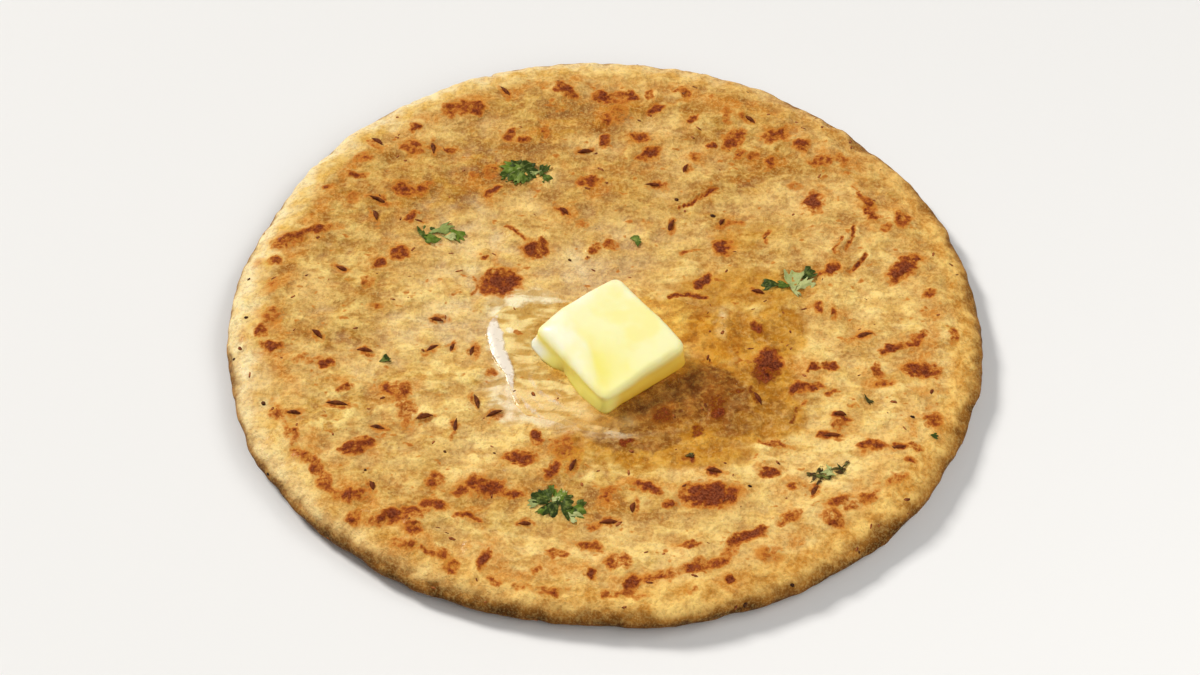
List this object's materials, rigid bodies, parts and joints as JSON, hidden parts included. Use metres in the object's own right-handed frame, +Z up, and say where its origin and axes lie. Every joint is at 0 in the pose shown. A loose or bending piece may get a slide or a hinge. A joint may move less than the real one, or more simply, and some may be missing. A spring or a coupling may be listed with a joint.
{
  "type": "paratha flatbread",
  "caption": "Round stuffed flatbread, griddle-browned, with a low rounded rim and a soft square pat of butter resting on top.",
  "frame": {"origin": "on the underside, below the middle of the bread's box", "axes": "+Z up out of the browned top, +X to the right and +Y away as the bread is shown, with the butter a little towards -Y"},
  "size_m": [0.2008, 0.1988, 0.0161],
  "materials": {
    "toasted_dough": "soft griddled dough, pale cream to golden brown, slightly greasy",
    "butter": "soft yellow butter with melted, glossy edges",
    "melted_butter": "thin clear golden film, wet",
    "cumin_seed": "dry ridged brown seed",
    "coriander": "fresh chopped green leaf"
  },
  "bodies": {
    "root": {"paratha": "toasted_dough", "butter_pat": "butter"}
  },
  "joints": []
}
